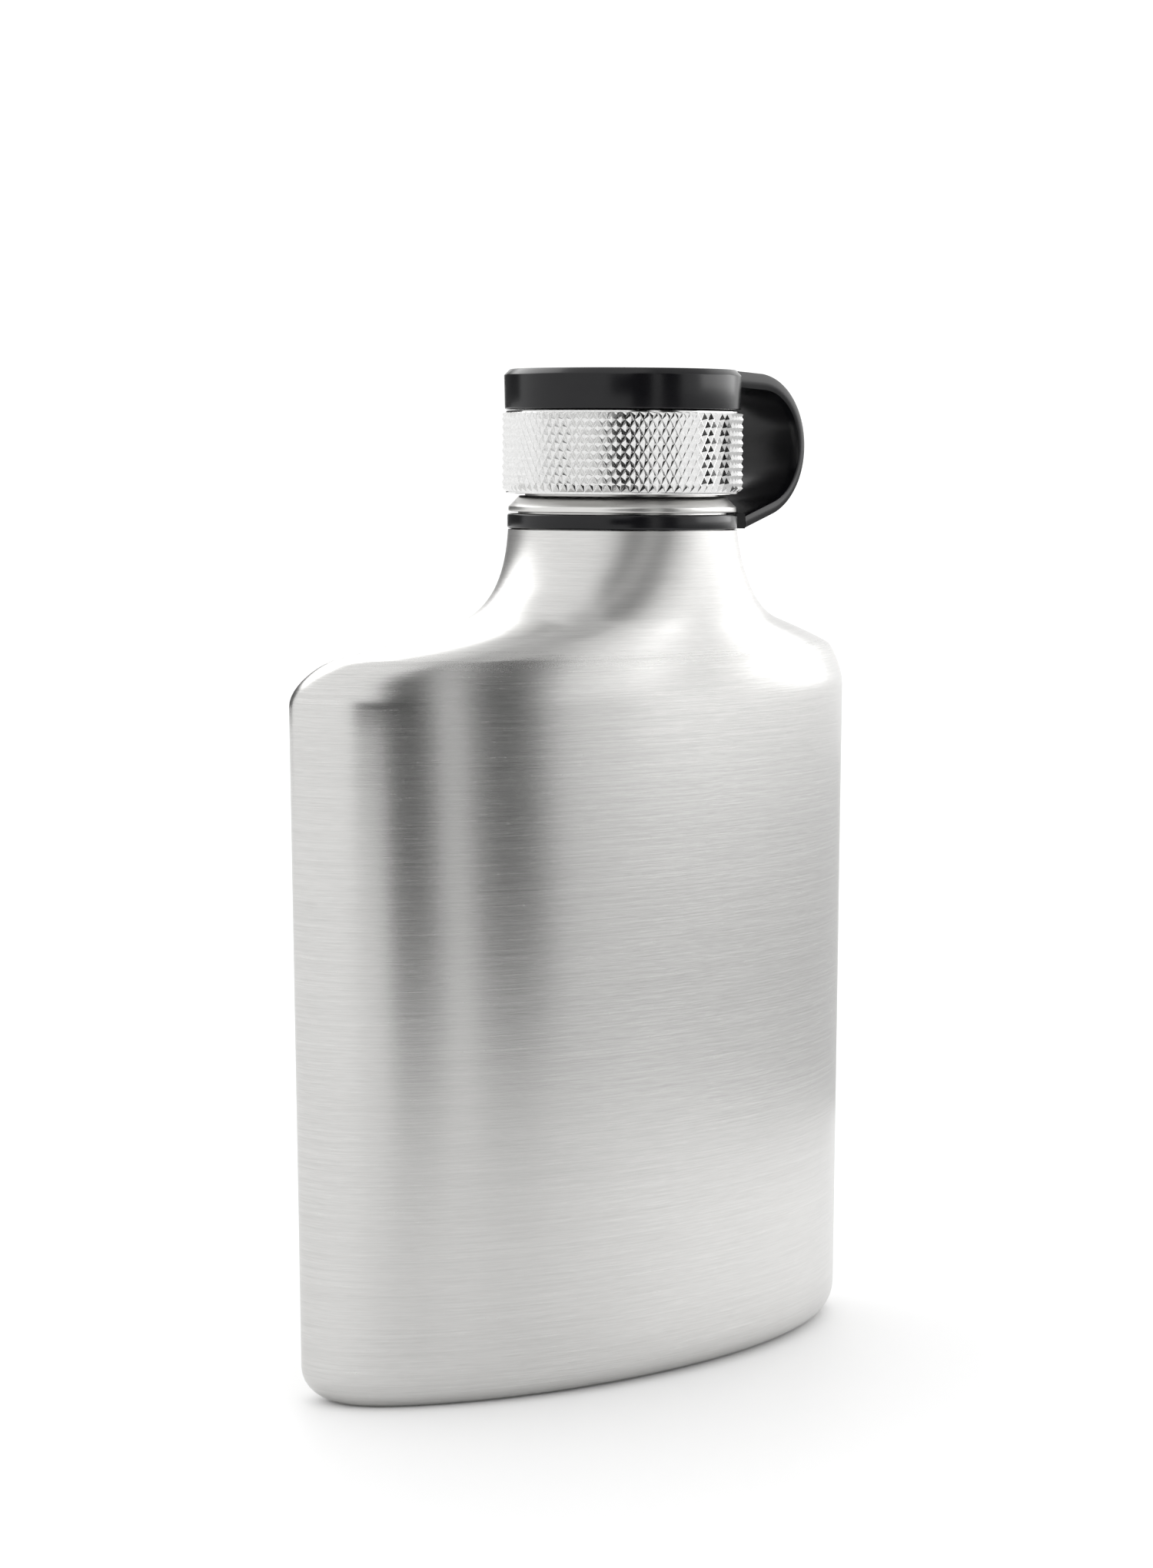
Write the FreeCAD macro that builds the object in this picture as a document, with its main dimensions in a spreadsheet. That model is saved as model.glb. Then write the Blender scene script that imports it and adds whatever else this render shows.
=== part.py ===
import FreeCAD, Part
import Sketcher
import math
import os
from FreeCAD import Vector

# Hip flask with a screw cap on a captive tether.
# Millimetres, +Z up, -Y is the bowed front. The origin is on the neck axis, in the base plane.

doc = FreeCAD.newDocument("HipFlask")

# ---------------------------------------------------------------- driving dimensions
DIMENSIONS = {
    # body: a bent oval section that tapers towards the base
    "half_width_base": 45.6, "half_width_shoulder": 47.1, "half_depth": 11.8, "oval_power": 2.55,
    "front_offset": 1.85, "bow_rate": 0.0043, "wall": 0.7, "base_round": 4.2,
    # shoulders and neck of the body
    "shoulder_slope": 12.6, "shoulder_corner": 5.9, "neck_radius": 14.1, "neck_flare": 15.6,
    "flare_height": 108.1, "neck_top": 104.25, "neck_power_rise": 6.0,
    # base plate, welded into the bottom opening
    "plate_inset": 5.2, "plate_thick": 0.8,
    # threaded neck finish
    "spigot_bottom": 101.8, "mouth_radius": 10.6, "groove_radius": 12.95, "collar_radius": 14.15,
    "collar_bottom": 106.45, "collar_rim": 0.6, "collar_bevel": 1.35, "bevel_radius": 12.8,
    "core_radius": 12.1, "mouth_height": 116.0, "mouth_chamfer": 0.4,
    # thread, right-handed, the same on the neck and in the cap
    "pitch": 3.0, "thread_rise": 4.0, "ridge_depth": 0.85, "ridge_root": 0.55, "ridge_crest": 0.3,
    "ridge_sink": 0.15, "neck_ridge_start": 110.9, "ridge_offset": 1.05,
    # cap: knurled metal shell, threaded liner and gasket
    "cap_radius": 15.0, "cap_bottom": 108.66, "cap_top": 118.87, "cap_wall": 1.0, "cap_roof": 0.87,
    "cap_lip": 0.55, "cap_edge": 0.4, "curl_radius": 13.25, "curl_thick": 0.5,
    "liner_bottom": 109.2, "liner_roof": 117.1,
    "liner_bore": 13.2, "liner_gap": 0.03, "gasket_inner": 8.6, "gasket_outer": 13.1,
    "gasket_bottom": 116.08, "gasket_gap": 0.02,
    # pivot: rivet and washer that hold the cap to the tether disc
    "rivet_radius": 2.5, "pivot_hole": 2.7, "rivet_foot": 4.5, "rivet_foot_thick": 1.1,
    "rivet_head": 4.2, "rivet_head_thick": 0.8, "washer_radius": 5.2, "washer_thick": 0.5,
    "play": 0.05,
    # tether: disc on the cap, strap and ring round the neck
    "disc_radius": 14.75, "disc_bottom": 119.02, "disc_top": 124.0, "disc_draft": 0.12,
    "disc_chamfer": 0.75, "disc_recess": 6.2, "disc_recess_depth": 1.8,
    "ring_radius": 14.3, "ring_bore": 13.15, "ring_bottom": 104.35, "ring_top": 106.2,
    "ring_edge": 0.25, "tab_radius": 16.0, "tab_angle": 64.0,
    "strap_width": 17.0, "strap_root": 11.5, "strap_gap": 0.06, "strap_top_slope": 3.0,
    "strap_low_slope": 18.0, "strap_outer_x": 16.1, "strap_outer_z": 114.7, "strap_outer": 9.05,
    "strap_inner_x": 16.85, "strap_inner_z": 114.5, "strap_inner": 7.15,
}

sheet = doc.addObject("Spreadsheet::Sheet", "Sizes")
for row, (alias, number) in enumerate(DIMENSIONS.items(), start=1):
    sheet.set("A%d" % row, alias)
    sheet.set("B%d" % row, str(number))
    sheet.setAlias("B%d" % row, alias)
doc.recompute()


class Size:
    """A length with its number and the sheet formula that gives it."""

    def __init__(self, value, formula):
        self.value = value
        self.formula = formula

    def __add__(self, other):
        other = as_size(other)
        return Size(self.value + other.value, "(%s + %s)" % (self.formula, other.formula))

    def __sub__(self, other):
        other = as_size(other)
        return Size(self.value - other.value, "(%s - %s)" % (self.formula, other.formula))

    def __mul__(self, factor):
        return Size(self.value * factor, "(%s * %s)" % (self.formula, factor))


def as_size(thing):
    """A plain number becomes a Size whose formula is the number."""
    return thing if isinstance(thing, Size) else Size(float(thing), str(float(thing)))


def size(alias):
    """The Size that one cell of the sheet holds."""
    return Size(float(sheet.get(alias)), "Sizes." + alias)


def number(alias):
    """The number that one cell of the sheet holds."""
    return float(sheet.get(alias))


# ---------------------------------------------------------------- sketch helpers
def origin_feature(body, role):
    """A plane or axis of the body's own origin, found by its role."""
    return [item for item in body.Origin.OriginFeatures if item.Role == role][0]


def new_sketch(body, name, plane):
    """An empty sketch on one of the body's origin planes."""
    sketch = body.newObject("Sketcher::SketchObject", name)
    sketch.AttachmentSupport = (origin_feature(body, plane), "")
    sketch.MapMode = "FlatFace"
    return sketch


def pin_vertex(sketch, line, x, y):
    """Hold a line's start point at two sheet formulas, measured from the sketch origin."""
    for kind, length in (("DistanceX", x), ("DistanceY", y)):
        index = sketch.addConstraint(Sketcher.Constraint(kind, -1, 1, line, 1, length.value))
        sketch.setExpression("Constraints[%d]" % index, length.formula)


def closed_outline(sketch, corners):
    """A closed polygon whose corners are (Size, Size) pairs."""
    count = len(corners)
    points = [Vector(x.value, y.value, 0) for x, y in corners]
    for i in range(count):
        sketch.addGeometry(Part.LineSegment(points[i], points[(i + 1) % count]))
    for i in range(count):
        sketch.addConstraint(Sketcher.Constraint("Coincident", i, 2, (i + 1) % count, 1))
    for i, (x, y) in enumerate(corners):
        pin_vertex(sketch, i, x, y)


def turned(body, name, corners, angle=None):
    """Revolve a radius-height outline about the body's vertical axis."""
    sketch = new_sketch(body, name + "_outline", "XZ_Plane")
    closed_outline(sketch, corners)
    feature = body.newObject("PartDesign::Revolution", name)
    feature.Profile = sketch
    feature.ReferenceAxis = (sketch, ["V_Axis"])
    if angle is None:
        feature.Angle = 360.0
    else:
        feature.Midplane = True
        feature.setExpression("Angle", angle.formula)
    body.Tip = feature
    doc.recompute()
    return feature


def thread_ridge(body, name, corners):
    """Sweep a ridge section up a right-handed helix round the vertical axis."""
    sketch = new_sketch(body, name + "_section", "XZ_Plane")
    closed_outline(sketch, corners)
    ridge = body.newObject("PartDesign::AdditiveHelix", name)
    ridge.Profile = sketch
    ridge.ReferenceAxis = (sketch, ["V_Axis"])
    ridge.Mode = 0
    ridge.setExpression("Pitch", "Sizes.pitch")
    ridge.setExpression("Height", "Sizes.thread_rise")
    ridge.LeftHanded = False
    body.Tip = ridge
    doc.recompute()
    return ridge


# ---------------------------------------------------------------- body section and height profile
def smoothstep(amount):
    """Ease from 0 to 1."""
    amount = min(max(amount, 0.0), 1.0)
    return amount * amount * (3.0 - 2.0 * amount)


class BodyShape:
    """The flask body as a stack of bent ovals."""

    def __init__(self):
        self.slope = math.radians(number("shoulder_slope"))
        self.neck = number("neck_radius")
        self.flare = number("neck_flare")
        self.flare_z = number("flare_height")
        self.corner = number("shoulder_corner")
        self.shoulder = number("half_width_shoulder")
        # the shoulder line starts where it touches the neck flare
        self.slope_top_z = self.flare_z - self.flare * math.cos(self.slope)
        self.slope_top_x = self.neck + self.flare * (1.0 - math.sin(self.slope))
        # the corner arc touches both the shoulder line and the side
        self.corner_x = self.shoulder - self.corner
        drop = (self.corner_x - self.slope_top_x) * math.tan(self.slope)
        self.corner_z = self.slope_top_z - drop - self.corner / math.cos(self.slope)
        self.slope_end_z = self.corner_z + self.corner * math.cos(self.slope)

    def half_width(self, z):
        """Half width of the body at height z."""
        if z >= self.flare_z:
            return self.neck
        if z >= self.slope_top_z:
            return self.neck + self.flare - math.sqrt(self.flare ** 2 - (self.flare_z - z) ** 2)
        if z >= self.slope_end_z:
            return self.slope_top_x + (self.slope_top_z - z) / math.tan(self.slope)
        if z >= self.corner_z:
            return self.corner_x + math.sqrt(self.corner ** 2 - (z - self.corner_z) ** 2)
        base = number("half_width_base")
        return base + (self.shoulder - base) * z / self.corner_z

    def wire(self, z, inset=0.0):
        """Closed smooth outline of the body at height z, drawn in by inset."""
        rise = smoothstep((z - self.corner_z) / (self.flare_z - self.corner_z))
        half_x = self.half_width(z) - inset
        half_y = number("half_depth") * (1.0 - rise) + self.neck * rise - inset
        ease = smoothstep((z - self.corner_z) / number("neck_power_rise"))
        power = number("oval_power") * (1.0 - ease) + 2.0 * ease
        points = []
        for step in range(SECTION_POINTS):
            turn = 2.0 * math.pi * step / SECTION_POINTS - 0.5 * math.pi
            cosine, sine = math.cos(turn), math.sin(turn)
            x = half_x * math.copysign(abs(cosine) ** (2.0 / power), cosine)
            y = half_y * math.copysign(abs(sine) ** (2.0 / power), sine)
            bend = (number("bow_rate") * x * x - number("front_offset")) * (1.0 - rise)
            points.append(Vector(x, y + bend, z))
        curve = Part.BSplineCurve()
        even = list(range(SECTION_POINTS + 1))
        curve.interpolate(Points=points, PeriodicFlag=True, Parameters=even)
        return Part.Wire(curve.toShape())

    def levels(self, bottom, rounding):
        """Heights and insets of the sections, from the rounded base to above the neck."""
        found = []
        for step in range(ROUND_STEPS + 1):
            turn = 0.5 * math.pi * step / ROUND_STEPS
            inset = rounding * (1.0 - math.sin(turn))
            found.append((bottom + rounding * (1.0 - math.cos(turn)), inset))
        start, end = bottom + rounding, self.corner_z
        for step in range(1, SIDE_STEPS + 1):
            found.append((start + (end - start) * step / SIDE_STEPS, 0.0))
        for step in range(1, ROUND_STEPS + 1):
            turn = (0.5 * math.pi - self.slope) * step / ROUND_STEPS
            found.append((self.corner_z + self.corner * math.sin(turn), 0.0))
        found.append((0.5 * (self.slope_end_z + self.slope_top_z), 0.0))
        for step in range(FLARE_STEPS + 1):
            turn = (0.5 * math.pi - self.slope) * (1.0 - step / FLARE_STEPS)
            found.append((self.flare_z - self.flare * math.sin(turn), 0.0))
        return found

    def solid(self, bottom, rounding, inset):
        """The body, or with an inset its inner space, as one lofted solid."""
        wires = [self.wire(z, draw + inset) for z, draw in self.levels(bottom, rounding)]
        return Part.makeLoft(wires, True, False)


SECTION_POINTS = 40
ROUND_STEPS = 5
SIDE_STEPS = 12
FLARE_STEPS = 6
shape = BodyShape()


def front_half_space():
    """Everything in front of the bent mid surface of the body."""
    reach, depth = 60.0, 40.0
    rate, offset = number("bow_rate"), number("front_offset")
    end_y = rate * reach ** 2 - offset
    bend = Part.BezierCurve()
    bend.setPoles([Vector(-reach, end_y, -1), Vector(0, -rate * reach ** 2 - offset, -1),
                   Vector(reach, end_y, -1)])
    corners = [Vector(reach, end_y, -1), Vector(reach, -depth, -1), Vector(-reach, -depth, -1),
               Vector(-reach, end_y, -1)]
    edges = [bend.toShape()] + [Part.makeLine(a, b) for a, b in zip(corners, corners[1:])]
    return Part.Face(Part.Wire(edges)).extrude(Vector(0, 0, number("neck_top") + 2))


def base_opening():
    """The prism that the base plate fills."""
    outline = Part.Face(shape.wire(0.0, number("plate_inset")))
    return outline.extrude(Vector(0, 0, number("plate_thick")))


def set_feature(label, solid):
    """A sub-part whose shape is worked out above."""
    feature = doc.addObject("Part::Feature", label)
    feature.Shape = solid
    feature.Placement = FreeCAD.Placement()
    feature.Label = label
    return feature


def body_halves():
    """Front and back pressings: outer form less inner space, mouth and base opening."""
    wall, rounding = number("wall"), number("base_round")
    outer = shape.solid(0.0, rounding, 0.0)
    inner = shape.solid(number("plate_thick"), rounding - wall, wall)
    above = Part.makeBox(200, 200, 20, Vector(-100, -100, number("neck_top")))
    below = Part.makeBox(200, 200, 20, Vector(-100, -100, -20))
    seat = Vector(0, 0, number("spigot_bottom"))
    mouth = Part.makeCylinder(number("groove_radius"), 20, seat)
    shell = outer.cut(inner).cut(above).cut(below).cut(mouth).cut(base_opening())
    front = front_half_space()
    return shell.common(front).Solids[0], shell.cut(front).Solids[0]


# ---------------------------------------------------------------- neck finish
def make_neck_finish():
    """Spout welded into the body neck, with tether groove, bevelled collar and thread."""
    body = doc.addObject("PartDesign::Body", "neck_finish")
    bottom, bore = size("spigot_bottom"), size("mouth_radius")
    rim_z = size("collar_bottom") + size("collar_rim")
    bevel_z = rim_z + size("collar_bevel")
    top, chamfer = size("mouth_height"), size("mouth_chamfer")
    turned(body, "neck_turned", [
        (bore, bottom), (size("groove_radius"), bottom),
        (size("groove_radius"), size("collar_bottom")),
        (size("collar_radius"), size("collar_bottom")), (size("collar_radius"), rim_z),
        (size("bevel_radius"), bevel_z), (size("core_radius"), bevel_z),
        (size("core_radius"), top - chamfer), (size("core_radius") - chamfer, top),
        (bore + chamfer, top), (bore, top - chamfer)])
    root = size("core_radius") - size("ridge_sink")
    crest = size("core_radius") + size("ridge_depth")
    middle = size("neck_ridge_start")
    thread_ridge(body, "neck_thread", [
        (root, middle - size("ridge_root")), (crest, middle - size("ridge_crest")),
        (crest, middle + size("ridge_crest")), (root, middle + size("ridge_root"))])
    return body


# ---------------------------------------------------------------- cap
def make_cap_shell():
    """Turned metal cap: bevelled lip, curled-in lower rim, broken top edge and pivot hole."""
    body = doc.addObject("PartDesign::Body", "cap_shell")
    radius, bottom, top = size("cap_radius"), size("cap_bottom"), size("cap_top")
    inner, roof = radius - size("cap_wall"), top - size("cap_roof")
    lip, edge, hole = size("cap_lip"), size("cap_edge"), size("pivot_hole")
    curl, curl_top = size("curl_radius"), bottom + size("curl_thick")
    turned(body, "cap_turned", [
        (hole, roof), (inner, roof), (inner, curl_top), (curl, curl_top), (curl, bottom),
        (radius - lip, bottom),
        (radius, bottom + lip), (radius, top - edge), (radius - edge, top), (hole, top)])
    return body


def make_cap_liner():
    """Moulded liner inside the cap, with the thread that rides on the neck's ridge."""
    body = doc.addObject("PartDesign::Body", "cap_liner")
    outer = size("cap_radius") - size("cap_wall") - size("liner_gap")
    top = size("cap_top") - size("cap_roof") - size("liner_gap")
    bottom, roof, bore = size("liner_bottom"), size("liner_roof"), size("liner_bore")
    hole = size("pivot_hole")
    turned(body, "liner_turned", [
        (hole, roof), (bore, roof), (bore, bottom), (outer, bottom), (outer, top), (hole, top)])
    root = bore + size("ridge_sink")
    crest = bore - size("ridge_depth")
    middle = size("neck_ridge_start") - size("ridge_offset")
    thread_ridge(body, "liner_thread", [
        (root, middle - size("ridge_root")), (crest, middle - size("ridge_crest")),
        (crest, middle + size("ridge_crest")), (root, middle + size("ridge_root"))])
    return body


def make_cap_gasket():
    """Flat silicone ring that seals on the rim of the mouth."""
    body = doc.addObject("PartDesign::Body", "cap_gasket")
    low, high = size("gasket_bottom"), size("liner_roof") - size("gasket_gap")
    inner, outer = size("gasket_inner"), size("gasket_outer")
    turned(body, "gasket_turned", [(inner, low), (outer, low), (outer, high), (inner, high)])
    return body


# ---------------------------------------------------------------- pivot
def recess_floor():
    """Height of the floor of the disc's top recess."""
    return size("disc_top") - size("disc_recess_depth")


def make_pivot_rivet():
    """Rivet up through liner, cap and disc: a foot below, a bevelled head above."""
    body = doc.addObject("PartDesign::Body", "pivot_rivet")
    foot_top = size("liner_roof") - size("play")
    foot_bottom = foot_top - size("rivet_foot_thick")
    head_bottom = recess_floor() + size("play") + size("washer_thick")
    head_top = head_bottom + size("rivet_head_thick")
    axis, shank = as_size(0), size("rivet_radius")
    foot, head, edge = size("rivet_foot"), size("rivet_head"), size("cap_edge")
    turned(body, "rivet_turned", [
        (axis, foot_bottom), (foot - edge, foot_bottom), (foot, foot_bottom + edge),
        (foot, foot_top), (shank, foot_top), (shank, head_bottom), (head, head_bottom),
        (head, head_top - edge), (head - edge * 2.0, head_top), (axis, head_top)])
    return body


def make_pivot_washer():
    """Washer between the rivet head and the floor of the disc's recess."""
    body = doc.addObject("PartDesign::Body", "pivot_washer")
    low = recess_floor() + size("play")
    high = low + size("washer_thick")
    inner, outer = size("rivet_radius"), size("washer_radius")
    turned(body, "washer_turned", [(inner, low), (outer, low), (outer, high), (inner, high)])
    return body


# ---------------------------------------------------------------- tether
def make_tether_disc():
    """Thick round pad on top of the cap, with a chamfered rim and a recess for the rivet."""
    body = doc.addObject("PartDesign::Body", "tether_disc")
    radius, low, high = size("disc_radius"), size("disc_bottom"), size("disc_top")
    chamfer, recess, hole = size("disc_chamfer"), size("disc_recess"), size("pivot_hole")
    turned(body, "disc_turned", [
        (hole, low), (radius - size("disc_draft"), low), (radius, high - chamfer),
        (radius - chamfer, high), (recess, high), (recess, recess_floor()), (hole, recess_floor())])
    return body


def make_tether_ring():
    """Ring that turns in the neck groove, with the tab that the strap leaves from."""
    body = doc.addObject("PartDesign::Body", "tether_ring")
    low, high, edge = size("ring_bottom"), size("ring_top"), size("ring_edge")
    bore, radius = size("ring_bore"), size("ring_radius")
    turned(body, "ring_turned", [
        (bore, low), (radius - edge, low), (radius, low + edge), (radius, high - edge),
        (radius - edge, high), (bore, high)])
    inside = radius - edge * 2.0
    turned(body, "ring_tab", [
        (inside, low), (size("tab_radius"), low), (size("tab_radius"), high), (inside, high)],
        angle=size("tab_angle"))
    return body


def make_tether_strap():
    """Flat strap bent round an arc from the ring's tab up to the disc, thickest at the top."""
    body = doc.addObject("PartDesign::Body", "tether_strap")
    sketch = new_sketch(body, "strap_profile", "XZ_Plane")
    leg_x = number("strap_root")
    top_slope, low_slope = math.radians(number("strap_top_slope")), math.radians(number("strap_low_slope"))
    first, last = low_slope - 0.5 * math.pi, 0.5 * math.pi - top_slope
    sides = ("strap_outer", "strap_inner")
    legs = []
    for side in sides:
        centre = Vector(number(side + "_x"), number(side + "_z"), 0)
        circle = Part.Circle(centre, Vector(0, 0, 1), number(side))
        sketch.addGeometry(Part.ArcOfCircle(circle, first, last))
        for turn, rise in ((last, math.tan(top_slope)), (first, -math.tan(low_slope))):
            bend = centre + Vector(math.cos(turn), math.sin(turn), 0) * number(side)
            legs.append((bend, Vector(leg_x, bend.y + (bend.x - leg_x) * rise, 0)))
    for bend, root in legs:
        sketch.addGeometry(Part.LineSegment(bend, root))
    sketch.addGeometry(Part.LineSegment(legs[0][1], legs[2][1]))
    sketch.addGeometry(Part.LineSegment(legs[1][1], legs[3][1]))
    top_end, low_end = 2, 1
    for arc, (top_leg, low_leg) in ((0, (2, 3)), (1, (4, 5))):
        sketch.addConstraint(Sketcher.Constraint("Tangent", arc, top_end, top_leg, 1))
        sketch.addConstraint(Sketcher.Constraint("Tangent", arc, low_end, low_leg, 1))
    for first_line, second_line, closing in ((2, 4, 6), (3, 5, 7)):
        sketch.addConstraint(Sketcher.Constraint("Coincident", closing, 1, first_line, 2))
        sketch.addConstraint(Sketcher.Constraint("Coincident", closing, 2, second_line, 2))
        sketch.addConstraint(Sketcher.Constraint("Vertical", closing))
    for outer_leg, inner_leg in ((2, 4), (3, 5)):
        sketch.addConstraint(Sketcher.Constraint("Parallel", outer_leg, inner_leg))
    bindings = [
        (Sketcher.Constraint("Angle", -1, 1, 2, 1, math.pi - top_slope),
         "180 deg - Sizes.strap_top_slope * 1 deg"),
        (Sketcher.Constraint("Angle", -1, 1, 3, 1, math.pi + low_slope),
         "180 deg + Sizes.strap_low_slope * 1 deg"),
        (Sketcher.Constraint("DistanceX", -1, 1, 2, 2, leg_x), "Sizes.strap_root"),
        (Sketcher.Constraint("DistanceX", -1, 1, 3, 2, leg_x), "Sizes.strap_root")]
    for arc, side in enumerate(sides):
        bindings += [
            (Sketcher.Constraint("DistanceX", -1, 1, arc, 3, number(side + "_x")), "Sizes.%s_x" % side),
            (Sketcher.Constraint("DistanceY", -1, 1, arc, 3, number(side + "_z")), "Sizes.%s_z" % side),
            (Sketcher.Constraint("Radius", arc, number(side)), "Sizes." + side)]
    for constraint, formula in bindings:
        index = sketch.addConstraint(constraint)
        sketch.setExpression("Constraints[%d]" % index, formula)
    pad = body.newObject("PartDesign::Pad", "strap_width")
    pad.Profile = sketch
    pad.Midplane = True
    pad.setExpression("Length", "Sizes.strap_width")
    body.Tip = pad
    doc.recompute()
    top_gap = size("disc_radius") + size("strap_gap")
    tab_gap = size("tab_radius") + size("strap_gap")
    middle = size("strap_outer_z")
    axis = as_size(0)
    for name, radius, bottom, top in (
            ("disc_clearance", top_gap, middle, size("disc_top") + 1.0),
            ("tab_clearance", tab_gap, size("ring_bottom") - 1.0, middle)):
        before = body.Tip.Shape.Volume
        cutter = new_sketch(body, name + "_outline", "XZ_Plane")
        closed_outline(cutter, [(axis, bottom), (radius, bottom), (radius, top), (axis, top)])
        groove = body.newObject("PartDesign::Groove", name)
        groove.Profile = cutter
        groove.ReferenceAxis = (cutter, ["V_Axis"])
        groove.Angle = 360.0
        body.Tip = groove
        doc.recompute()
        if groove.Shape.Volume > before - 1.0:
            raise RuntimeError(name + " cut nothing")
    return body


# ---------------------------------------------------------------- build, check and write
front, back = body_halves()
parts = [
    set_feature("front_shell", front),
    set_feature("back_shell", back),
    set_feature("base_plate", base_opening()),
    make_neck_finish(),
    make_cap_shell(),
    make_cap_liner(),
    make_cap_gasket(),
    make_pivot_rivet(),
    make_pivot_washer(),
    make_tether_disc(),
    make_tether_ring(),
    make_tether_strap(),
]
doc.recompute()

for item in doc.Objects:
    if "Invalid" in item.State or "Error" in item.State:
        raise RuntimeError("%s did not compute: %s" % (item.Label, item.State))
for part in parts:
    if part.Shape.isNull() or not part.Shape.isValid() or len(part.Shape.Solids) != 1:
        raise RuntimeError("%s is not one valid solid" % part.Label)

os.makedirs("parts", exist_ok=True)
for part in parts:
    part.Shape.exportStep(os.path.join("parts", part.Label + ".step"))
    box = part.Shape.optimalBoundingBox()
    print("%-14s %9.1f mm3  x %.2f..%.2f  y %.2f..%.2f  z %.2f..%.2f" % (
        part.Label, part.Shape.Volume, box.XMin, box.XMax, box.YMin, box.YMax, box.ZMin, box.ZMax))
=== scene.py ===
import math

import bmesh
import bpy
from mathutils import Matrix, Vector


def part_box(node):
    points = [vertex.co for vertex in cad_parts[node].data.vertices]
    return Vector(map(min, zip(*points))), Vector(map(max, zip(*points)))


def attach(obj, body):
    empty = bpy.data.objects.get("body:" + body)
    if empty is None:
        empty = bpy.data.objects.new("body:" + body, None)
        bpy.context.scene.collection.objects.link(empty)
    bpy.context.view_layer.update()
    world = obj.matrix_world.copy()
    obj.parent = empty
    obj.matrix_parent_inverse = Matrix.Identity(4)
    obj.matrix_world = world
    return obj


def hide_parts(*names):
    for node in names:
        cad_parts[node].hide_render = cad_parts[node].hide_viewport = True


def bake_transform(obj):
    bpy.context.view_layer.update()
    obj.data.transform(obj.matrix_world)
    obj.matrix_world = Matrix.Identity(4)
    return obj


# A curved stainless hip flask with a knurled screw cap on a black tether.
# Metres, +Z up, -Y is the bowed front, the neck axis is X = Y = 0.

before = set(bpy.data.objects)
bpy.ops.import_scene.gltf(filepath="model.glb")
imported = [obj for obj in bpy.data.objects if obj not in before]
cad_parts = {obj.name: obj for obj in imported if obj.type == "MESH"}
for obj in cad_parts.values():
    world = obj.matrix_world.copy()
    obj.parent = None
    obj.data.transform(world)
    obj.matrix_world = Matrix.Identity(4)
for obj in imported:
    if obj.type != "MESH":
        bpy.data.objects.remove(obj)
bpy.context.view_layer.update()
scene = bpy.context.scene
MM = 0.001
WELD = 0.0005 * MM


# ---------------------------------------------------------------- places read from the frame
def node_top(name):
    """Height of the top of a CAD node."""
    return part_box(name)[1].z


def node_bottom(name):
    """Height of the bottom of a CAD node."""
    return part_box(name)[0].z


def node_radius(name):
    """Outer radius of a round CAD node on the neck axis."""
    low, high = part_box(name)
    return 0.5 * (high.y - low.y)


# The visual body stays just inside the CAD body.
HALF_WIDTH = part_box("front_shell")[1].x - 0.06 * MM
NECK_TOP = node_top("front_shell")
CAP_RADIUS = node_radius("cap_shell")
CAP_LOW, CAP_HIGH = node_bottom("cap_shell"), node_top("cap_shell")
DISC_RADIUS = node_radius("tether_disc")
DISC_LOW, DISC_HIGH = node_bottom("tether_disc"), node_top("tether_disc")
RING_RADIUS = node_radius("tether_ring")
RING_LOW, RING_HIGH = node_bottom("tether_ring"), node_top("tether_ring")
TAB_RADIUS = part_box("tether_ring")[1].x
STRAP_WIDTH = 2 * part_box("tether_strap")[1].y
MOUTH_TOP = node_top("neck_finish")
SPIGOT_LOW = node_bottom("neck_finish")
COLLAR_RADIUS = node_radius("neck_finish")
PIVOT_HOLE = 2.7 * MM
GROOVE_RADIUS = 12.95 * MM


# ---------------------------------------------------------------- shader nodes
class Wire:
    """A number in a material: sums and products on it add Math nodes."""

    def __init__(self, finish, socket):
        self.finish = finish
        self.socket = socket

    def _math(self, operation, first, second):
        return self.finish.node("ShaderNodeMath", {"operation": operation}, {0: first, 1: second})

    def __add__(self, other):
        return self._math("ADD", self, other)

    def __radd__(self, other):
        return self._math("ADD", other, self)

    def __sub__(self, other):
        return self._math("SUBTRACT", self, other)

    def __rsub__(self, other):
        return self._math("SUBTRACT", other, self)

    def __mul__(self, other):
        return self._math("MULTIPLY", self, other)

    def __rmul__(self, other):
        return self._math("MULTIPLY", other, self)


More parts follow.
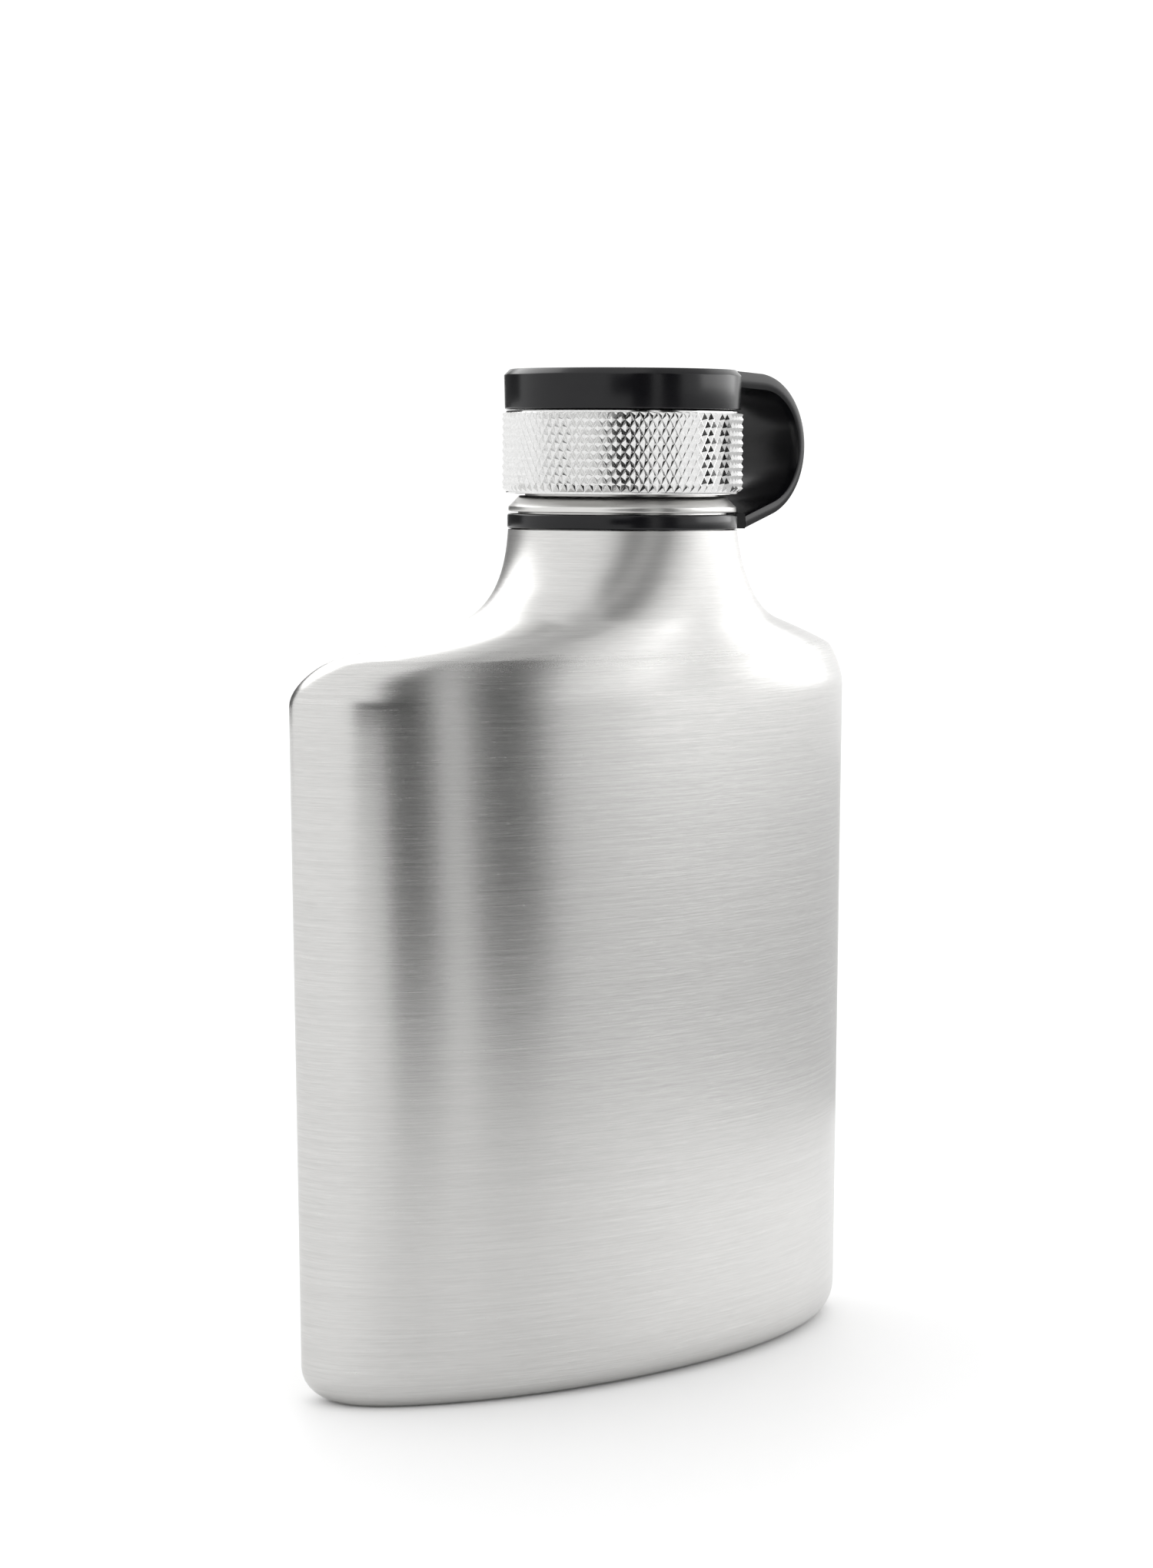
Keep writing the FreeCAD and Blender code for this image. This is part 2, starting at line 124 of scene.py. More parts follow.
class Finish:
    """One material and the nodes that make its pattern."""

    def __init__(self, name, **constants):
        self.material = bpy.data.materials.new(name)
        self.material.use_nodes = True
        self.tree = self.material.node_tree
        self.shader = self.tree.nodes["Principled BSDF"]
        for socket, value in constants.items():
            self.shader.inputs[socket.replace("_", " ")].default_value = value

    def plug(self, socket, value):
        """Give a socket a number, a colour or a link."""
        if isinstance(value, Wire):
            self.tree.links.new(value.socket, socket)
        else:
            socket.default_value = value

    def node(self, kind, settings=None, sockets=None, output=0):
        """Add a node, set it up, feed its sockets and return one of its outputs."""
        made = self.tree.nodes.new(kind)
        for key, value in (settings or {}).items():
            if key == "stops":
                self.set_stops(made.color_ramp, value)
            else:
                setattr(made, key, value)
        for key, value in (sockets or {}).items():
            self.plug(made.inputs[key], value)
        return Wire(self, made.outputs[output])

    def set_stops(self, ramp, stops):
        """Fill a colour ramp from (position, grey or colour) pairs."""
        while len(ramp.elements) < len(stops):
            ramp.elements.new(1.0)
        for element, (position, tone) in zip(ramp.elements, stops):
            element.position = position
            element.color = (tone, tone, tone, 1) if isinstance(tone, (int, float)) else (*tone, 1)

    def place(self, stretch):
        """Object coordinates, stretched."""
        where = self.node("ShaderNodeTexCoord", output="Object")
        return self.node("ShaderNodeMapping", None, {"Vector": where, "Scale": stretch})

    def noise(self, scale, detail, roughness, stretch=(1, 1, 1)):
        """Grey noise over the piece, per metre."""
        return self.node("ShaderNodeTexNoise", None, {
            "Vector": self.place(stretch), "Scale": scale, "Detail": detail, "Roughness": roughness})

    def ramp(self, amount, *stops):
        """Pass a number through a ramp."""
        return self.node("ShaderNodeValToRGB", {"stops": stops}, {0: amount})

    def mix(self, factor, first, second):
        """Blend two colours."""
        return self.node("ShaderNodeMix", {"data_type": "RGBA"}, {0: factor, 6: first, 7: second},
                         output=2)

    def bump(self, height, distance, strength):
        """A bump from a height pattern."""
        return self.node("ShaderNodeBump", None, {
            "Height": height, "Distance": distance, "Strength": strength})

    def feed(self, **patterns):
        """Link patterns to the shader."""
        for socket, value in patterns.items():
            self.plug(self.shader.inputs[socket.replace("_", " ")], value)
        return self.material


def brushed_steel():
    """Pressed stainless steel with fine level brushing and a faint cloudiness."""
    f = Finish("brushed_steel", Metallic=1.0)
    long_lines = f.noise(1.0, 2.0, 0.6, stretch=(60, 60, 5600))
    short_lines = f.noise(1.0, 3.0, 0.7, stretch=(420, 420, 11000))
    cloud = f.noise(55.0, 3.0, 0.55)
    grain = f.noise(6000.0, 2.0, 0.6)
    lines = long_lines * 0.45 + short_lines * 0.55
    tone = f.ramp(lines, (0.36, (0.535, 0.531, 0.521)), (0.64, (0.645, 0.641, 0.630)))
    worn = f.mix(f.ramp(cloud, (0.35, 0.0), (0.75, 0.3)), tone, (0.64, 0.636, 0.624, 1))
    height_up = f.node("ShaderNodeSeparateXYZ", None, {0: f.place((8, 8, 8))}, "Z")
    neck = f.ramp(height_up, (0.70, 0.0), (0.80, 1.0))
    rough = 0.205 + lines * 0.07 + grain * 0.04 + neck * 0.12
    height = lines * 0.7 + grain * 0.3
    return f.feed(Base_Color=worn, Roughness=rough, Normal=f.bump(height, 0.008 * MM, 0.65))


def turned_steel():
    """Lathe-turned stainless steel: fine rings round the axis."""
    f = Finish("turned_steel", Metallic=1.0)
    rings = f.noise(1.0, 2.0, 0.6, stretch=(90, 90, 16000))
    cloud = f.noise(240.0, 2.0, 0.5)
    tone = f.ramp(rings, (0.3, (0.60, 0.595, 0.58)), (0.7, (0.70, 0.695, 0.68)))
    rough = 0.22 + rings * 0.10 + cloud * 0.06
    return f.feed(Base_Color=tone, Roughness=rough, Normal=f.bump(rings, 0.008 * MM, 0.5))


def knurled_steel():
    """Bright rolled knurl: clean peaks with a little scuffing."""
    f = Finish("knurled_steel", Metallic=1.0)
    scuff = f.noise(3500.0, 3.0, 0.6)
    cloud = f.noise(160.0, 2.0, 0.5)
    tone = f.ramp(scuff, (0.35, (0.68, 0.68, 0.675)), (0.7, (0.80, 0.80, 0.795)))
    rough = 0.07 + scuff * 0.08 + cloud * 0.04
    return f.feed(Base_Color=tone, Roughness=rough, Normal=f.bump(scuff, 0.006 * MM, 0.4))


def tether_plastic():
    """Satin black moulded nylon with a very fine spark texture."""
    f = Finish("tether_plastic", IOR=1.38)
    spark = f.noise(6500.0, 3.0, 0.65)
    flow = f.noise(180.0, 3.0, 0.5)
    tone = f.ramp(flow, (0.3, (0.003, 0.003, 0.004)), (0.75, (0.006, 0.006, 0.007)))
    rough = 0.13 + flow * 0.08 + spark * 0.08
    return f.feed(Base_Color=tone, Roughness=rough, Normal=f.bump(spark, 0.010 * MM, 0.3))


def liner_plastic():
    """Moulded black polypropylene, a little duller than the tether."""
    f = Finish("liner_plastic")
    spark = f.noise(4200.0, 2.0, 0.6)
    tone = f.ramp(spark, (0.3, (0.022, 0.022, 0.023)), (0.75, (0.040, 0.040, 0.041)))
    rough = 0.42 + spark * 0.12
    return f.feed(Base_Color=tone, Roughness=rough, Normal=f.bump(spark, 0.02 * MM, 0.4))


def silicone():
    """Milky silicone rubber."""
    f = Finish("silicone", Subsurface_Weight=0.2)
    cloud = f.noise(600.0, 2.0, 0.5)
    tone = f.ramp(cloud, (0.3, (0.66, 0.66, 0.63)), (0.75, (0.76, 0.76, 0.73)))
    rough = 0.45 + cloud * 0.15
    return f.feed(Base_Color=tone, Roughness=rough, Normal=f.bump(cloud, 0.02 * MM, 0.3))


# ---------------------------------------------------------------- mesh helpers
def new_object(name, bm, material):
    """Turn a bmesh into an object in the scene."""
    mesh = bpy.data.meshes.new(name)
    bm.to_mesh(mesh)
    bm.free()
    mesh.materials.append(material)
    made = bpy.data.objects.new(name, mesh)
    scene.collection.objects.link(made)
    return made


def new_piece(name, bm, finish, body, stands_for, sharp=math.radians(38)):
    """Weld a mesh, turn it outwards, give it its finish, and hang it on its body, if it has one."""
    bmesh.ops.remove_doubles(bm, verts=bm.verts, dist=WELD)
    bmesh.ops.recalc_face_normals(bm, faces=bm.faces)
    piece = new_object(name, bm, FINISHES[finish])
    piece.data.shade_smooth()
    piece.data.set_sharp_from_angle(angle=sharp)
    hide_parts(*stands_for)
    if body is not None:
        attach(piece, body)
    return piece


def add_corner(bm, radius, z):
    """A vertex of an outline in the XZ plane."""
    return bmesh.ops.create_vert(bm, co=(radius, 0, z))["vert"][0]


def add_loop(bm, verts):
    """Join vertices with a closed run of edges."""
    return [bm.edges.new(pair) for pair in zip(verts, verts[1:] + verts[:1])]


def grow(bm, edges):
    """Extrude a run of edges and return the new vertices and the new edges."""
    grown = bmesh.ops.extrude_edge_only(bm, edges=edges)["geom"]
    return ([g for g in grown if isinstance(g, bmesh.types.BMVert)],
            [g for g in grown if isinstance(g, bmesh.types.BMEdge)])


def lathe(bm, outline, steps=160, closed=True):
    """Spin a radius-height outline round the neck axis. A corner is (radius, height) or
    (radius, height, rounding). An outline that isn't closed starts and ends on the axis."""
    verts = [add_corner(bm, corner[0], corner[1]) for corner in outline]
    edges = add_loop(bm, verts) if closed else [
        bm.edges.new(pair) for pair in zip(verts, verts[1:])]
    bmesh.ops.spin(bm, geom=verts + edges, cent=(0, 0, 0), axis=(0, 0, 1),
                   angle=2 * math.pi, steps=steps, use_merge=True)
    bmesh.ops.remove_doubles(bm, verts=bm.verts, dist=WELD)
    bmesh.ops.recalc_face_normals(bm, faces=bm.faces)
    for corner in outline:
        if len(corner) == 3:
            round_rim(bm, *corner)


def round_rim(bm, radius, height, rounding):
    """Bevel the circular edge at this radius and height."""
    near = 0.002 * MM
    rim = [e for e in bm.edges if all(
        abs(v.co.z - height) < near and abs(math.hypot(v.co.x, v.co.y) - radius) < near
        for v in e.verts)]
    bmesh.ops.bevel(bm, geom=rim, offset=rounding, offset_type="OFFSET", segments=3,
                    profile=0.5, affect="EDGES", clamp_overlap=True, material=-1)


# ---------------------------------------------------------------- body
ROUND_STEPS = 8
SIDE_STEPS = 24
CORNER_STEPS = 12
SLOPE_STEPS = 5
FLARE_STEPS = 18
OUTLINE_STEPS = 192


def smoothstep(amount):
    """Ease from 0 to 1."""
    amount = min(max(amount, 0), 1)
    return amount * amount * (3 - 2 * amount)


class BodyForm:
    """The flask body: bent ovals stacked up a side line, a shoulder and a neck flare."""

    half_width_base = HALF_WIDTH - 1.5 * MM
    half_depth = 11.8 * MM
    oval_power = 2.55
    front_offset = 1.85 * MM
    bow_rate = 4.3
    wall = 0.7 * MM
    base_round = 4.2 * MM
    slope = math.radians(12.6)
    corner = 5.9 * MM
    neck = 14.1 * MM
    flare = 15.6 * MM
    flare_z = NECK_TOP + 3.85 * MM
    power_rise = 6.0 * MM

    def __init__(self):
        self.slope_top_z = self.flare_z - self.flare * math.cos(self.slope)
        self.slope_top_x = self.neck + self.flare * (1 - math.sin(self.slope))
        self.corner_x = HALF_WIDTH - self.corner
        drop = (self.corner_x - self.slope_top_x) * math.tan(self.slope)
        self.corner_z = self.slope_top_z - drop - self.corner / math.cos(self.slope)
        self.slope_end_z = self.corner_z + self.corner * math.cos(self.slope)

    def half_width(self, z):
        """Half width at height z."""
        if z >= self.slope_top_z:
            return self.neck + self.flare - math.sqrt(self.flare ** 2 - (self.flare_z - z) ** 2)
        if z >= self.slope_end_z:
            return self.slope_top_x + (self.slope_top_z - z) / math.tan(self.slope)
        if z >= self.corner_z:
            return self.corner_x + math.sqrt(self.corner ** 2 - (z - self.corner_z) ** 2)
        return self.half_width_base + (HALF_WIDTH - self.half_width_base) * z / self.corner_z

    def point(self, turn, z, inset):
        """The point at one turn round the outline at height z, drawn in by inset."""
        rise = smoothstep((z - self.corner_z) / (self.flare_z - self.corner_z))
        half_x = self.half_width(z) - inset
        half_y = self.half_depth * (1 - rise) + self.neck * rise - inset
        ease = smoothstep((z - self.corner_z) / self.power_rise)
        power = self.oval_power * (1 - ease) + 2.0 * ease
        cosine, sine = math.cos(turn), math.sin(turn)
        x = half_x * math.copysign(abs(cosine) ** (2 / power), cosine)
        y = half_y * math.copysign(abs(sine) ** (2 / power), sine)
        return Vector((x, y + (self.bow_rate * x * x - self.front_offset) * (1 - rise), z))


def body_levels(form, low, rounding, inset):
    """(height, inset) of each ring of a wall, from the base opening up to the neck."""
    levels = []
    for step in range(ROUND_STEPS + 1):
        turn = 0.5 * math.pi * step / ROUND_STEPS
        levels.append((low + rounding * (1 - math.cos(turn)), inset + rounding * (1 - math.sin(turn))))
    start = low + rounding
    for step in range(1, SIDE_STEPS + 1):
        levels.append((start + (form.corner_z - start) * step / SIDE_STEPS, inset))
    full_turn = 0.5 * math.pi - form.slope
    for step in range(1, CORNER_STEPS + 1):
        levels.append((form.corner_z + form.corner * math.sin(full_turn * step / CORNER_STEPS), inset))
    for step in range(1, SLOPE_STEPS):
        rise = (form.slope_top_z - form.slope_end_z) * step / SLOPE_STEPS
        levels.append((form.slope_end_z + rise, inset))
    top_turn = math.asin((form.flare_z - NECK_TOP) / form.flare)
    for step in range(FLARE_STEPS + 1):
        turn = full_turn + (top_turn - full_turn) * step / FLARE_STEPS
        levels.append((form.flare_z - form.flare * math.sin(turn), inset))
    return levels


def make_body():
    """One welded skin for the two pressed halves: outer wall, neck lip and inner wall."""
    form = BodyForm()
    bm = bmesh.new()
    turn_layer = bm.verts.layers.float.new("turn")
    ring = bmesh.ops.create_circle(bm, cap_ends=False, segments=OUTLINE_STEPS, radius=1.0)["verts"]
    for v in ring:
        v[turn_layer] = math.atan2(v.co.y, v.co.x)
    opening = form.half_width_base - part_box("base_plate")[1].x
    inner_low = node_top("base_plate")
    outer = [(0.0, opening)] + body_levels(form, 0.0, form.base_round, 0.0)
    inner = body_levels(form, inner_low, form.base_round - form.wall, form.wall)
    inner = [(inner_low, opening)] + [level for level in inner if level[0] < SPIGOT_LOW]

    def lay(verts, z, draw):
        for v in verts:
            v.co = form.point(v[turn_layer], z, draw)

    def lay_round(verts, z, radius):
        for v in verts:
            side = form.point(v[turn_layer], NECK_TOP, 0.0)
            side.z = 0
            v.co = side.normalized() * radius + Vector((0, 0, z))

    lay(ring, *outer[0])
    edges = first_edges = list(bm.edges)
    for level in outer[1:]:
        verts, edges = grow(bm, edges)
        lay(verts, *level)
    for z in (NECK_TOP, SPIGOT_LOW):
        verts, edges = grow(bm, edges)
        lay_round(verts, z, GROOVE_RADIUS)
    for level in reversed(inner):
        verts, edges = grow(bm, edges)
        lay(verts, *level)
    bmesh.ops.bridge_loops(bm, edges=edges + first_edges)
    new_piece("flask_body", bm, "brushed_steel", "flask", ["front_shell", "back_shell"],
              sharp=math.radians(50))


# ---------------------------------------------------------------- neck, collar and thread
THREAD_PITCH = 3.0 * MM
THREAD_RISE = 4.0 * MM
THREAD_START = 110.9 * MM
THREAD_DEPTH = 0.85 * MM
THREAD_STEPS = 96


def add_thread(bm, root, crest, start_z):
    """A right-handed ridge sunk a little into its wall and wound round the axis."""
    sunk = root - math.copysign(0.15 * MM, crest - root)
    foot, tip = 0.55 * MM, 0.3 * MM
    section = [(sunk, -foot), (crest, -tip), (crest, tip), (sunk, foot)]
    verts = [add_corner(bm, radius, start_z + z) for radius, z in section]
    edges = add_loop(bm, verts)
    bm.faces.new(verts)
    spun = bmesh.ops.spin(
        bm, geom=verts + edges, cent=(0, 0, 0), axis=(0, 0, 1), steps=THREAD_STEPS,
        angle=2 * math.pi * (THREAD_RISE / THREAD_PITCH), dvec=(0, 0, THREAD_RISE / THREAD_STEPS))
    last = [g for g in spun["geom_last"] if isinstance(g, bmesh.types.BMVert)]
    bmesh.ops.contextual_create(bm, geom=last)


def make_neck():
    """Spout with the tether groove, bevelled collar, plain neck and thread."""
    bm = bmesh.new()
    bore, core, bevel = 10.6 * MM, 12.1 * MM, 12.8 * MM
    rim_low, rim_high, bevel_top = 106.45 * MM, 107.05 * MM, 108.4 * MM
    lathe(bm, [
        (bore, SPIGOT_LOW), (GROOVE_RADIUS, SPIGOT_LOW), (GROOVE_RADIUS, rim_low),
        (COLLAR_RADIUS, rim_low, 0.12 * MM), (COLLAR_RADIUS, rim_high, 0.1 * MM),
        (bevel, bevel_top, 0.08 * MM), (core, bevel_top), (core, MOUTH_TOP, 0.3 * MM),
        (bore, MOUTH_TOP, 0.4 * MM)])
    add_thread(bm, core, core + THREAD_DEPTH, THREAD_START)
    new_piece("neck_spout", bm, "turned_steel", "flask", ["neck_finish"])


# ---------------------------------------------------------------- cap
KNURL_COUNT = 82
KNURL_ROWS = 5
KNURL_DEPTH = 0.42 * MM
KNURL_SEAM = 0.035 * MM
KNURL_LEAN = 0.10 * MM
KNURL_LIFT = 0.16 * MM


def make_cap_shell():
    """Metal cap with a real diamond knurl between two bevelled edges."""
    bm = bmesh.new()
    low, high = CAP_LOW + 0.26 * MM, CAP_HIGH - 0.2 * MM
    radius, inner = CAP_RADIUS, CAP_RADIUS - 1.0 * MM
    half_step = math.pi / KNURL_COUNT
    row_height = (high - low) / KNURL_ROWS
    valley = radius - KNURL_DEPTH - 0.02 * MM
    # One column of flat diamonds is laid, spun round the axis and cut level at both ends.

    def at(angle, z):
        return Vector((valley * math.cos(angle), valley * math.sin(angle), z))

    for row in range(2 * KNURL_ROWS + 1):
        z = low + 0.5 * row_height * row
        shift = half_step * (row % 2)
        tile = bmesh.ops.create_circle(bm, cap_ends=True, segments=4, radius=0.5)["verts"]
        spots = [at(shift - half_step, z), at(shift, z - 0.5 * row_height),
                 at(shift + half_step, z), at(shift, z + 0.5 * row_height)]
        for v, spot in zip(sorted(tile, key=lambda v: math.atan2(v.co.y, v.co.x)), spots):
            v.co = spot
    bmesh.ops.spin(bm, geom=bm.verts[:] + bm.edges[:] + bm.faces[:], cent=(0, 0, 0), axis=(0, 0, 1),
                   angle=2 * math.pi, steps=KNURL_COUNT, use_duplicate=True)
    bmesh.ops.remove_doubles(bm, verts=bm.verts, dist=0.02 * MM)
    for z, side in ((low, -1), (high, 1)):
        geometry = bm.verts[:] + bm.edges[:] + bm.faces[:]
        bmesh.ops.bisect_plane(bm, geom=geometry, dist=0.01 * MM, plane_co=(0, 0, z),
                               plane_no=(0, 0, side), clear_outer=True)
    bmesh.ops.recalc_face_normals(bm, faces=bm.faces)
    outward = sum(f.normal.dot(f.calc_center_median() * Vector((1, 1, 0))) for f in bm.faces)
    if outward < 0:
        bmesh.ops.reverse_faces(bm, faces=bm.faces)
    # Each diamond is drawn up to a peak inside a narrow seam.
    tiles = bm.faces[:]
    bmesh.ops.inset_individual(bm, faces=tiles, thickness=KNURL_SEAM)
    peaks = bmesh.ops.poke(bm, faces=tiles, offset=KNURL_DEPTH, center_mode="MEAN")["verts"]
    for v in peaks:
        side = Vector((-v.co.y, v.co.x, 0)).normalized()
        v.co += side * KNURL_LEAN + Vector((0, 0, KNURL_LIFT))
    rims = [e for e in bm.edges if e.is_boundary]
    edges = [e for e in rims if e.verts[0].co.z > 0.5 * (low + high)]
    bottom = [e for e in rims if e.verts[0].co.z < 0.5 * (low + high)]
    # The wall runs on over the top, down the inside and round the curled lower rim.
    roof = CAP_HIGH - 0.87 * MM
    curl, curl_top = 13.25 * MM, CAP_LOW + 0.5 * MM
    path = [
        (radius - 0.48 * MM, CAP_HIGH - 0.05 * MM), (radius - 0.6 * MM, CAP_HIGH),
        (PIVOT_HOLE, CAP_HIGH), (PIVOT_HOLE, roof), (inner, roof),
        (inner, curl_top), (curl, curl_top), (curl, CAP_LOW),
        (radius - 0.62 * MM, CAP_LOW), (radius - 0.5 * MM, CAP_LOW + 0.06 * MM)]
    for ring_radius, z in path:
        verts, edges = grow(bm, edges)
        for v in verts:
            v.co = Vector((v.co.x, v.co.y, 0)).normalized() * ring_radius + Vector((0, 0, z))
    bmesh.ops.bridge_loops(bm, edges=edges + bottom)
    new_piece("cap_knurled_shell", bm, "knurled_steel", "cap", ["cap_shell"], sharp=math.radians(20))


def make_cap_liner():
    """Threaded insert in the cap."""
    bm = bmesh.new()
    low, high = node_bottom("cap_liner"), node_top("cap_liner")
    outer, bore, roof = node_radius("cap_liner"), 13.2 * MM, 117.1 * MM
    lathe(bm, [(PIVOT_HOLE, roof), (bore, roof), (bore, low, 0.2 * MM), (outer, low), (outer, high),
               (PIVOT_HOLE, high)])
    add_thread(bm, bore, bore - THREAD_DEPTH, THREAD_START - 1.05 * MM)
    new_piece("cap_thread_liner", bm, "liner_plastic", "cap", ["cap_liner"])


def make_gasket():
    """Sealing ring with soft edges."""
    bm = bmesh.new()
    low, high = node_bottom("cap_gasket"), node_top("cap_gasket")
    inner, outer, soft = 8.6 * MM, node_radius("cap_gasket"), 0.25 * MM
    lathe(bm, [(inner, low, soft), (outer, low, soft), (outer, high), (inner, high)])
    new_piece("cap_seal_ring", bm, "silicone", "cap", ["cap_gasket"])


# ---------------------------------------------------------------- pivot
SHANK_RADIUS = 2.5 * MM


def make_rivet():
    """Domed rivet that the cap turns on."""
    bm = bmesh.new()
    low, high = node_bottom("pivot_rivet"), node_top("pivot_rivet")
    foot, head, dome = 4.5 * MM, 4.2 * MM, 3.2 * MM
    foot_top, head_low = low + 1.1 * MM, high - 0.8 * MM
    lathe(bm, [(0, low), (foot, low, 0.35 * MM), (foot, foot_top), (SHANK_RADIUS, foot_top),
               (SHANK_RADIUS, head_low), (head, head_low), (head, head_low + 0.3 * MM, 0.1 * MM),
               (dome, head_low + 0.66 * MM, 0.3 * MM), (0, high)], closed=False)
    new_piece("pivot_rivet_turned", bm, "turned_steel", "pivot", ["pivot_rivet"])


def make_washer():
    """Washer under the rivet head."""
    bm = bmesh.new()
    low, high = node_bottom("pivot_washer"), node_top("pivot_washer")
    outer, soft = node_radius("pivot_washer"), 0.12 * MM
    lathe(bm, [(SHANK_RADIUS, low), (outer, low, soft), (outer, high, soft), (SHANK_RADIUS, high)])
    new_piece("pivot_flat_washer", bm, "turned_steel", "pivot", ["pivot_washer"])


# ---------------------------------------------------------------- tether
TETHER_STEPS = 192
TAB_HALF_TURN = math.radians(32)
TAB_STEPS = 40
STRAP_GAP = 0.06 * MM
STRAP_TOP_SLOPE = math.radians(3)
STRAP_LOW_SLOPE = math.radians(18)
STRAP_BENDS = ((16.1 * MM, 114.7 * MM, 9.05 * MM), (16.85 * MM, 114.5 * MM, 7.15 * MM))
STRAP_COLUMNS = 12
STRAP_STEPS = 56


def make_disc():
    """Moulded pad on the cap: chamfered rim, slight draft, recess for the rivet."""
    bm = bmesh.new()
    draft, chamfer, recess = 0.12 * MM, 0.75 * MM, 6.2 * MM
    floor = DISC_HIGH - 1.8 * MM
    lathe(bm, [(PIVOT_HOLE, DISC_LOW), (DISC_RADIUS - draft, DISC_LOW, 0.2 * MM),
               (DISC_RADIUS, DISC_HIGH - chamfer, 0.1 * MM),
               (DISC_RADIUS - chamfer, DISC_HIGH, 0.12 * MM),
               (recess, DISC_HIGH, 0.3 * MM), (recess, floor, 0.25 * MM), (PIVOT_HOLE, floor)],
          steps=TETHER_STEPS)
    new_piece("tether_cap_disc", bm, "tether_plastic", "disc", ["tether_disc"])


def make_ring():
    """Moulded ring round the neck with a tab where the strap leaves."""
    bm = bmesh.new()
    bore, soft = 13.15 * MM, 0.3 * MM
    lathe(bm, [(bore, RING_LOW), (RING_RADIUS, RING_LOW, soft), (RING_RADIUS, RING_HIGH, soft),
               (bore, RING_HIGH)], steps=TETHER_STEPS)
    inside = RING_RADIUS - 0.5 * MM
    verts = [add_corner(bm, radius, z) for radius, z in (
        (inside, RING_LOW), (TAB_RADIUS, RING_LOW), (TAB_RADIUS, RING_HIGH), (inside, RING_HIGH))]
    edges = add_loop(bm, verts)
    face = bm.faces.new(verts)
    bmesh.ops.rotate(bm, verts=verts, cent=(0, 0, 0), matrix=Matrix.Rotation(-TAB_HALF_TURN, 3, "Z"))
    bmesh.ops.spin(bm, geom=verts + edges + [face], cent=(0, 0, 0), axis=(0, 0, 1),
                   angle=2 * TAB_HALF_TURN, steps=TAB_STEPS)
    new_piece("tether_neck_ring", bm, "tether_plastic", "ring", ["tether_ring"])


def make_strap():
    """Flat strap bent round from the ring's tab up to the disc, thickest at the top. Each vertex
    keeps its place across the strap and which of the two bends it lies on."""
    half = 0.5 * STRAP_WIDTH
    disc_edge, tab_edge = DISC_RADIUS + STRAP_GAP, TAB_RADIUS + STRAP_GAP
    last_step = STRAP_STEPS + 2
    bm = bmesh.new()
    across = bm.verts.layers.float.new("across")
    within = bm.verts.layers.float.new("within")

    def lay(verts, step):
        for v in verts:
            centre_x, centre_z, radius = STRAP_BENDS[round(v[within])]
            share = min(max((step - 1) / STRAP_STEPS, 0), 1)
            turn = 0.5 * math.pi - STRAP_TOP_SLOPE - (
                math.pi - STRAP_TOP_SLOPE - STRAP_LOW_SLOPE) * share
            x, z = centre_x + radius * math.cos(turn), centre_z + radius * math.sin(turn)
            if step in (0, last_step):
                edge, rise = (tab_edge, -math.tan(STRAP_LOW_SLOPE)) if step else (
                    disc_edge, math.tan(STRAP_TOP_SLOPE))
                root = math.sqrt(edge ** 2 - v[across] ** 2)
                z += (x - root) * rise
                x = root
            v.co = (x, v[across], z)

    def row(side):
        verts = []
        for column in range(STRAP_COLUMNS + 1):
            v = add_corner(bm, 0, 0)
            v[across] = half * (2 * column / STRAP_COLUMNS - 1)
            v[within] = side
            verts.append(v)
        return verts

    outer, inner = row(0), row(1)
    loop = outer + inner[::-1]
    edges = first_edges = add_loop(bm, loop)
    lay(loop, 0)
    for step in range(1, last_step + 1):
        verts, edges = grow(bm, edges)
        lay(verts, step)
    for end in (first_edges, edges):
        rows = [e for e in end if round(e.verts[0][within]) == round(e.verts[1][within])]
        bmesh.ops.bridge_loops(bm, edges=rows)
    bmesh.ops.recalc_face_normals(bm, faces=bm.faces)
    near = 0.01 * MM
    long_edges = [e for e in bm.edges if abs(abs(e.verts[0].co.y) - half) < near
                  and abs(e.verts[0].co.y - e.verts[1].co.y) < near
                  and e.verts[0][within] == e.verts[1][within]]
    bmesh.ops.bevel(bm, geom=long_edges, offset=0.25 * MM, offset_type="OFFSET", segments=2,
                    profile=0.5, affect="EDGES", clamp_overlap=True, material=-1)
    piece = new_piece("tether_loop_strap", bm, "tether_plastic", None, ["tether_strap"])
    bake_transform(piece)


def dress_base():
    """The base plate keeps its CAD mesh and gets the brushed finish."""
    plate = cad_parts["base_plate"]
    plate.data.materials.clear()
    plate.data.materials.append(FINISHES["brushed_steel"])


# ---------------------------------------------------------------- camera, floor and light
CAMERA_TURN = math.radians(46.87)
CAMERA_DISTANCE = 497.9 * MM
CAMERA_HEIGHT = 112.85 * MM
CAMERA_SIDE = -5.51 * MM
CAMERA_PITCH = math.radians(4.639)
CAMERA_ROLL = math.radians(0.27)
SENSOR_WIDTH = 36.0
LENS = 91.76


